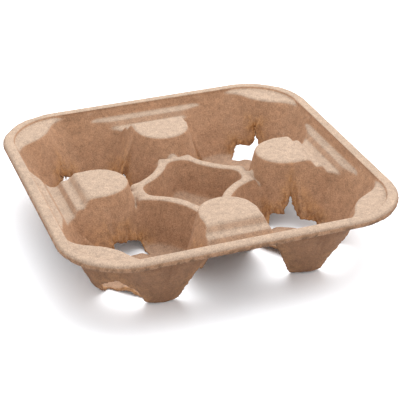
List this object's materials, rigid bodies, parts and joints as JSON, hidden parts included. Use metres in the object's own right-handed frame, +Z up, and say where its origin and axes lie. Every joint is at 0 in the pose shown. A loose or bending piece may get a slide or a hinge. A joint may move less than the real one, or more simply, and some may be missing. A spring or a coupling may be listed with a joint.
{
  "type": "cup carrier",
  "caption": "Square tray of moulded paper pulp with round wells for drinks cups, a raised ring round a middle pocket, and short feet.",
  "frame": {"origin": "middle of the square plan, at the height of the soles of the feet", "axes": "+Z up, out of the wells; +X and +Y square to the sides of the rim"},
  "size_m": [0.21, 0.21, 0.0445],
  "materials": {
    "moulded_pulp": "matt, fibrous, unbleached"
  },
  "bodies": {
    "root": {"cup_carrier": "moulded_pulp"}
  },
  "joints": []
}
